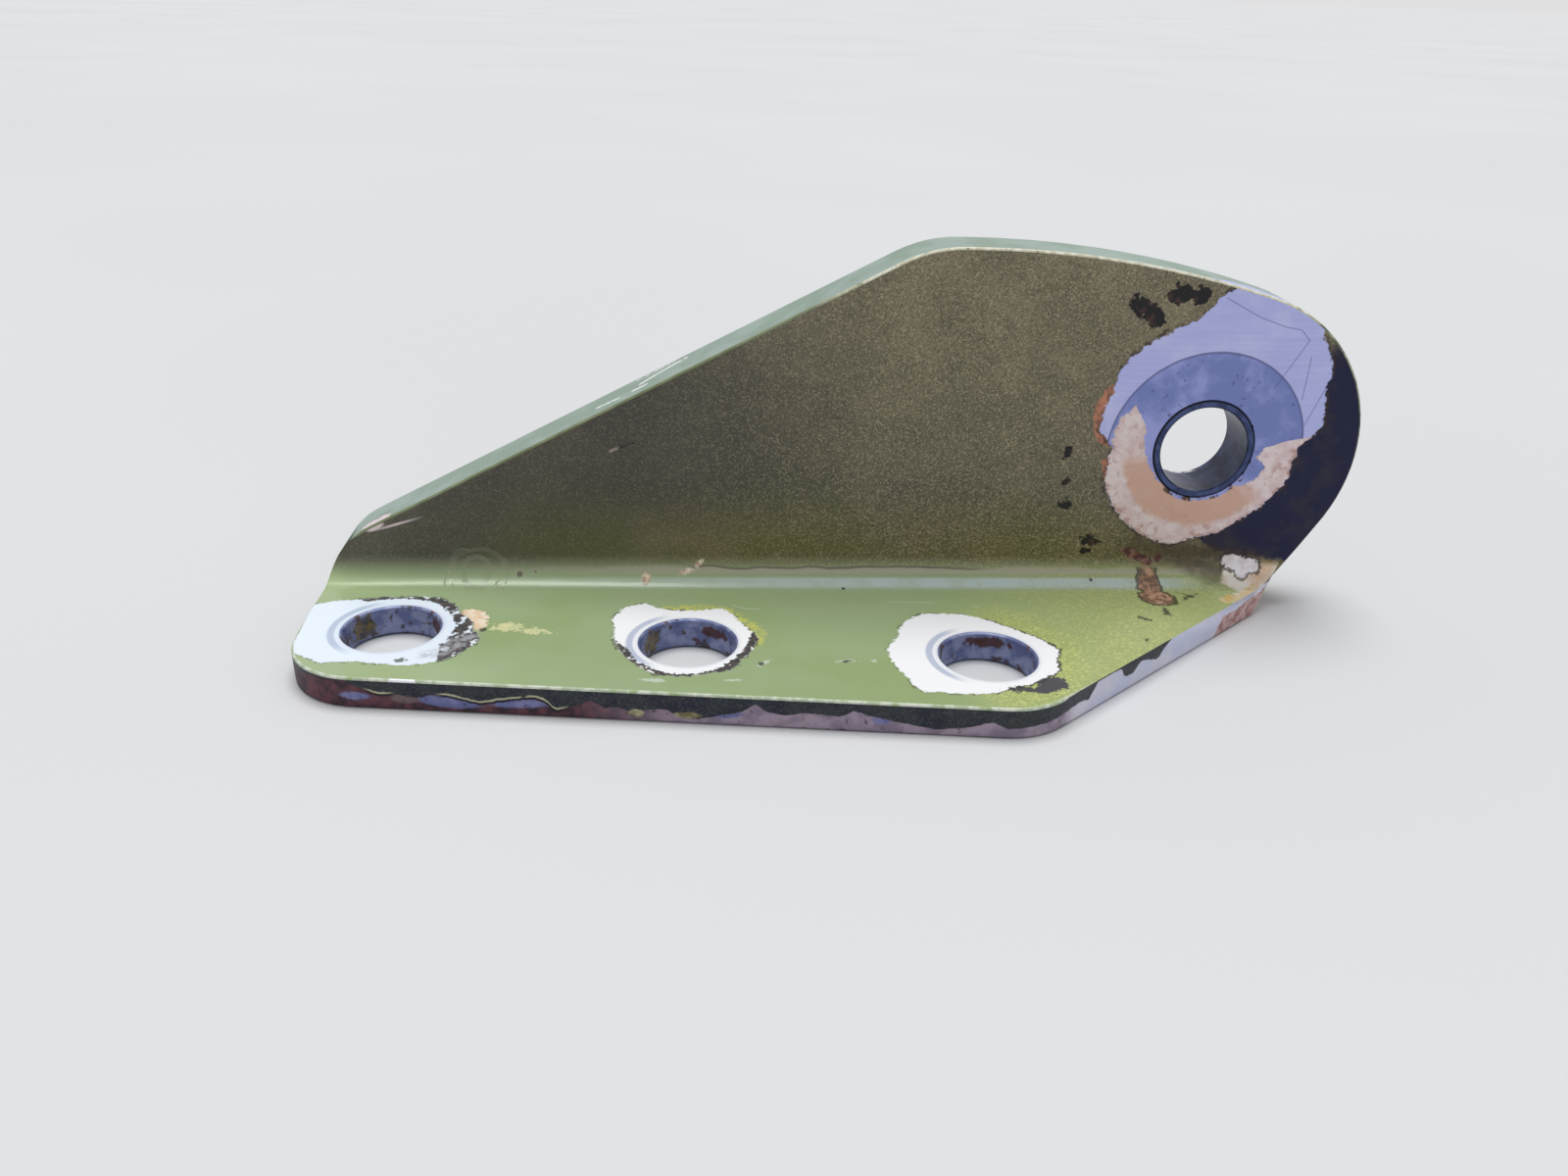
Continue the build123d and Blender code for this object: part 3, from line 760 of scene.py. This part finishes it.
def worn_edge_material():
    """The rounded edges, where the paint is thin: pale along the crest, pale along the flange as thin paint
    and painted highlight, with a painted highlight along the lug's rim.
    """
    s = Shader("worn_edges")
    coat = Coat(s, s.mottle(3, (120, 128, 96), (140, 148, 116), 101), 0.4)
    flange = s.ramp(s.z, 5.0, 4.0)
    # Partly painted highlight: the pale line along the flange's edge is thin paint and a highlight laid into
    # the colour.
    line = s.mottle(0.9, (178, 190, 160), (214, 220, 202), 102, 0.4, 0.6)
    coat.lay(flange, colour=s.blend(s.patches(2.0, 103, 0.3, 0.45), SAGE, line))
    front_chip = s.blots(s.plan, (((-25.9, -9.9), (1.2, 1.0)),), s.wander(0.2, 0.5, 104))
    coat.lay(front_chip, colour=(238, 240, 246), metallic=0.2)
    nose = s.times(s.ramp(s.x, 40, 42), flange)
    coat.lay(nose, colour=(228, 226, 228))
    crest = s.times(s.ramp(s.along, 10, 17), s.ramp(s.z, 20, 26))
    cream = s.mottle(0.7, (214, 208, 180), (240, 236, 216), 105)
    coat.lay(s.times(crest, s.patches(1.2, 106, 0.3, 0.42)), colour=cream)
    # Painted highlight: a pale yellow-green line along the top of the lug's rim, turning dark lower down.
    lug = s.times(s.ramp(s.along, 62, 65), s.ramp(s.z, 5.4, 5.8))
    down = s.ramp(s.z, 30, 14)
    coat.lay(lug, colour=s.blend(down, s.mottle(1.5, (176, 182, 150), (112, 118, 96), 107), (46, 46, 54)))
    return coat.finish()


def back_material():
    """The web's back: scuffed olive paint, worn to primer at its foot and bare around the lug's bore."""
    s = Shader("back_paint")
    colour = s.mottle(9, (100, 99, 72), (114, 112, 84), 111)
    colour = s.blend(s.times(s.ramp(s.grain(0.2)[0], 0.55, 1.0), 0.3), colour, (160, 154, 120))
    coat = Coat(s, colour, 0.36, height=s.add(PAINT_HEIGHT, peel(s, 113)))
    scuffs = (
        ((-12.0, 14.0), (-3.0, 17.5)), ((4.0, 11.0), (15.0, 12.5)), ((20.0, 26.0), (27.0, 21.5)),
        ((28.0, 9.0), (36.0, 13.5)), ((-24.0, 7.0), (-19.0, 7.6)),
    )
    scuff = s.times(s.strokes(s.web, scuffs, 0.07), s.patches(1.5, 118, 0.35, 0.55))
    coat.lay(s.times(scuff, 0.8), colour=(176, 178, 152), roughness=0.45)
    foot = s.ramp(s.add(s.z, s.wander(1.2, 2.2, 119)), 1.0, 0.8)
    foot_primer = s.mottle(1.2, PRIMER_PINK, (120, 96, 90), 120)
    coat.lay(foot, colour=foot_primer, roughness=0.6, height=PRIMER_HEIGHT)
    away, _ = s.around(s.web, PIVOT)
    primer = s.within(s.add(s.less(11.3, away), s.wander(1.1, 2.0, 115)), 0.15)
    ring_primer = s.mottle(1.3, PRIMER_PINK, PRIMER_TAN, 116)
    coat.lay(primer, colour=ring_primer, roughness=0.65, height=PRIMER_HEIGHT)
    rubbed = s.within(s.add(s.less(10.5, away), s.wander(0.5, 1.4, 114)), 0.15)
    swirl = s.mottle(0.35, (190, 193, 216), (164, 168, 194), 117, 0.3, 0.7)
    coat.lay(rubbed, colour=swirl, roughness=0.36, metallic=0.4, height=0.0)
    worn = s.times(s.near(away, 7.4, 1.9), s.patches(2.4, 110, 0.4, 0.62), rubbed)
    coat.tint(worn, 0.6, (116, 122, 158))
    return coat.finish()


def underside_material():
    """The mounting face: paint rubbed thin in places, bare in spots and around the bolt holes."""
    s = Shader("underside_paint")
    colour = s.mottle(7, (118, 126, 94), (134, 140, 106), 121)
    coat = Coat(s, colour, 0.5, height=s.add(PAINT_HEIGHT, s.times(s.noise(1.5, 2, 122), 1.0)))
    thin = s.patches(4.0, 123, 0.5, 0.72)
    coat.lay(s.times(thin, 0.7), colour=s.mottle(2.0, (150, 144, 122), (136, 124, 102), 124), roughness=0.6)
    bare = s.patches(2.2, 127, 0.66, 0.69)
    coat.lay(bare, colour=s.mottle(1.0, (168, 168, 172), (190, 176, 166), 128), height=0.0)
    for x in HOLE_XS:
        away, _ = s.around(s.plan, (x, 0))
        ring = s.within(s.add(s.less(6.4, away), s.wander(0.7, 1.2, 125)), 0.15)
        metal = s.mottle(0.8, (196, 200, 210), (168, 172, 186), 126)
        coat.lay(ring, colour=metal, roughness=0.38, metallic=0.3, height=0.0)
    return coat.finish()


def hole_material():
    """The bolt holes' walls, painted darker and bluer as shade and reflection, with the residue that the
    bolts left.
    """
    s = Shader("hole_wall")
    side = s.plane(s.x, s.z)
    # Painted shade and reflection: the walls' metal is darker and bluer than the bare seats around the
    # holes.
    metal = s.mottle(1.8, (104, 114, 158), (146, 154, 188), 131)
    coat = Coat(s, metal, 0.42, 0.3, s.times(s.noise(0.5, 3, 132), 1.5))
    dirt = s.patches(1.6, 133, 0.55, 0.62)
    coat.lay(s.times(dirt, 0.85), colour=s.mottle(0.8, RUST, (74, 66, 62), 134), roughness=0.7, metallic=0.0)
    rust_shapes = (((30.6, 2.3), (2.3, 0.6)), ((-26.6, 2.0), (0.7, 0.9)), ((2.2, 2.2), (1.6, 0.5)))
    rust = s.blots(side, rust_shapes, s.wander(0.3, 0.7, 135))
    coat.lay(s.times(rust, 0.9), colour=(82, 48, 40), roughness=0.7, metallic=0.0)
    stain_shapes = (((-34.0, 1.6), (0.9, 1.4)), ((-4.0, 1.6), (0.6, 1.4)))
    stain = s.times(s.blots(side, stain_shapes, s.wander(0.3, 0.7, 136)), 0.8)
    grease = s.mottle(0.7, (70, 68, 52), (128, 110, 60), 137)
    coat.lay(stain, colour=grease, roughness=0.7, metallic=0.0)
    return coat.finish()


def bushing_material():
    """The steel bushing: dull on its ends, its bore painted darker as shade, with a painted highlight at the
    bore's foot and a thin dark joint around it.
    """
    s = Shader("bushing_steel")
    away, angle = s.around(s.web, PIVOT)
    # Painted reflection: the steel's blue tint is a blue reflection laid into its colour.
    face = s.mottle(1.2, (48, 60, 100), (72, 86, 132), 141)
    coat = Coat(s, face, 0.34, 0.3, s.times(s.noise(0.4, 3, 142), 0.8))
    coat.lay(s.ramp(away, 5.36, 5.44), colour=(20, 20, 30), roughness=0.6, metallic=0.0)
    coat.tint(s.times(s.near(away, 4.82, 0.14), s.ramp(s.depth, 0.6, 0.2)), 0.7, (24, 28, 44))
    # Painted shade: the bore is painted darker than the ends.
    bore = s.ramp(away, 4.92, 4.86)
    coat.lay(bore, colour=s.mottle(1.6, (28, 36, 66), (54, 62, 96), 143), roughness=0.3)
    # Painted highlight: the lighter streak along the bore's foot.
    streak = s.times(bore, s.near(angle, -100, 26), s.patches(1.2, 144, 0.4, 0.65))
    coat.lay(s.times(streak, 0.5), colour=(120, 126, 154), roughness=0.4)
    far_end, at_foot = s.ramp(s.depth, 5.2, 5.6), s.near(angle, -95, 40)
    residue = s.times(bore, far_end, at_foot, s.patches(1.0, 145, 0.45, 0.5))
    coat.lay(residue, colour=(228, 222, 224), roughness=0.7, metallic=0.0)
    return coat.finish()


def dress_body():
    """Gives each face of the body its material, by where it lies and which way it looks."""
    makers = {
        "web": web_material, "fillet": fillet_material, "flange": flange_material, "rim": rim_material,
        "edge": edge_material, "back": back_material, "underside": underside_material,
        "hole": hole_material, "worn": worn_edge_material,
    }
    margin, wide_margin, before_web = 0.1, 0.2, -0.5
    wall_limit, level_limit = 0.9, 0.95
    slots = {}
    for name, maker in makers.items():
        slots[name] = len(body.data.materials)
        body.data.materials.append(maker())
    for face in body.data.polygons:
        place = face.center / MM
        depth = (place - web_origin).dot(web_inward)
        by_hole = any(math.hypot(place.x - x, place.y) < HOLE_RADIUS + wide_margin for x in HOLE_XS)
        if by_hole and abs(face.normal.z) < wall_limit:
            name = "hole"
        elif face.normal.z < -level_limit and place.z < 1:
            name = "underside"
        elif depth > WEB_THICKNESS - margin:
            name = "back"
        elif depth > margin:
            name = "edge"
        elif depth < before_web and place.z < FLANGE_TOP - wide_margin:
            name = "rim"
        elif depth > -IN_PLANE:
            name = "web"
        else:
            name = "fillet" if place.z > FLANGE_TOP + IN_PLANE else "flange"
        face.material_index = slots[name]
        face.use_smooth = True
    return slots


def on_front_outline(place):
    """True on the outlines of the flange's top and the web's front, clear of the fillet between them."""
    clear_depth, clear_height = -3.4, 8.0
    depth = (place - web_origin).dot(web_inward)
    on_flange = abs(place.z - FLANGE_TOP) < IN_PLANE and depth < clear_depth
    return on_flange or (abs(depth) < IN_PLANE and place.z > clear_height)


def mark_sharp_outline(slots):
    """Marks the outline's edges, where the front meets the rim or the web's edge, for rounding."""
    mesh = body.data
    places = [tuple(round(part / MM, 3) for part in vertex.co) for vertex in mesh.vertices]
    slots_at = {}
    for face in mesh.polygons:
        for edge in face.edge_keys:
            slots_at.setdefault(frozenset(places[index] for index in edge), set()).add(face.material_index)
    wanted = ({slots["flange"], slots["rim"]}, {slots["web"], slots["edge"]})
    marks = mesh.attributes.new("bevel_weight_edge", "FLOAT", "EDGE")
    for edge in mesh.edges:
        ends = [places[index] for index in edge.vertices]
        if slots_at[frozenset(ends)] in wanted and all(on_front_outline(Vector(end)) for end in ends):
            marks.data[edge.index].value = 1.0


def soften_edges(part, width, edge_slot):
    """Joins the faces' shared corners, joins flat faces into one, and rounds the marked edges."""
    part.modifiers.new("join", "WELD").merge_threshold = SAME_PLACE * MM
    flat = part.modifiers.new("flat_faces", "DECIMATE")
    flat.decimate_type = "DISSOLVE"
    flat.delimit = {"MATERIAL"}
    flat.angle_limit = math.radians(0.5)
    bevel = part.modifiers.new("round", "BEVEL")
    bevel.width = width
    bevel.segments = 3
    bevel.limit_method = "WEIGHT"
    bevel.use_clamp_overlap = False
    bevel.material = edge_slot
    smooth = part.modifiers.new("smooth", "WEIGHTED_NORMAL")
    smooth.keep_sharp = False


def dress_bushing():
    """Gives the whole bushing one material."""
    bushing.data.materials.append(bushing_material())
    for face in bushing.data.polygons:
        face.material_index = len(bushing.data.materials) - 1


def make_floor():
    """A plain pale floor, just under the mounting face."""
    metres_wide = 60.0
    bpy.ops.mesh.primitive_plane_add(size=metres_wide, location=(0, 0, -FLOOR_DROP * MM))
    floor = bpy.context.object
    floor.name = "floor"
    s = Shader("floor_pale")
    tone = s.mottle(300, (0.71, 0.71, 0.71, 1), (0.73, 0.73, 0.73, 1))
    floor.data.materials.append(Coat(s, tone, 0.9).finish(specular=0.0))


def add_sun(name, azimuth, elevation, spread, strength):
    """Light from a broad part of the sky. Azimuth 0 is behind the part and turns to its right."""
    lamp = bpy.data.lights.new(name, "SUN")
    lamp.angle = math.radians(spread)
    lamp.energy = strength
    holder = bpy.data.objects.new(name, lamp)
    bpy.context.scene.collection.objects.link(holder)
    turn, rise = math.radians(azimuth), math.radians(elevation)
    towards = Vector((math.sin(turn) * math.cos(rise), math.cos(turn) * math.cos(rise), math.sin(rise)))
    holder.rotation_euler = towards.to_track_quat("Z", "Y").to_euler()


def light_the_set():
    """Broad light from overhead, in a pale room that lights the part half as strongly as it looks."""
    world = bpy.data.worlds.new("room")
    bpy.context.scene.world = world
    world.use_nodes = True
    tree = world.node_tree
    tree.nodes.clear()
    path = tree.nodes.new("ShaderNodeLightPath")
    reflected = tree.nodes.new("ShaderNodeMath")
    seen = tree.nodes.new("ShaderNodeMath")
    reflected.operation = seen.operation = "MAXIMUM"
    tree.links.new(path.outputs["Is Glossy Ray"], reflected.inputs[0])
    tree.links.new(path.outputs["Is Transmission Ray"], reflected.inputs[1])
    tree.links.new(reflected.outputs[0], seen.inputs[0])
    tree.links.new(path.outputs["Is Camera Ray"], seen.inputs[1])
    as_light, as_seen = (0.37, 0.385, 0.41, 1), (0.75, 0.75, 0.75, 1)
    rooms = []
    for colour in (as_light, as_seen):
        rooms.append(tree.nodes.new("ShaderNodeBackground"))
        rooms[-1].inputs["Color"].default_value = colour
    pick = tree.nodes.new("ShaderNodeMixShader")
    output = tree.nodes.new("ShaderNodeOutputWorld")
    for socket, source in zip(pick.inputs, (seen, *rooms)):
        tree.links.new(source.outputs[0], socket)
    tree.links.new(pick.outputs[0], output.inputs[0])
    add_sun("overhead", azimuth=-4, elevation=81, spread=38, strength=2.15)


def place_camera():
    """The camera where the photo was taken from, worked out from the holes and the outline."""
    place = Vector((12.516, -107.091, 63.023))
    yaw, pitch, roll = -0.028, 0.4607, 0.0326
    focal_pixels, picture_width, sensor_width = 1240.7, 1600, 36.0
    forward = Vector((math.sin(yaw) * math.cos(pitch), math.cos(yaw) * math.cos(pitch), -math.sin(pitch)))
    level = Vector((math.cos(yaw), -math.sin(yaw), 0))
    upright = level.cross(forward)
    right = level * math.cos(roll) + upright * math.sin(roll)
    up = upright * math.cos(roll) - level * math.sin(roll)
    camera = bpy.data.objects.new("camera", bpy.data.cameras.new("camera"))
    bpy.context.scene.collection.objects.link(camera)
    turn = Matrix((right, up, -forward)).transposed().to_4x4()
    camera.matrix_world = Matrix.Translation(place * MM) @ turn
    camera.data.sensor_width = sensor_width
    camera.data.lens = sensor_width * focal_pixels / picture_width
    camera.data.clip_start = 0.005
    bpy.context.scene.camera = camera


slots = dress_body()
mark_sharp_outline(slots)
soften_edges(body, EDGE_ROUNDING * MM, slots["worn"])
dress_bushing()
make_floor()
light_the_set()
place_camera()
bpy.context.scene.view_settings.view_transform = "Standard"
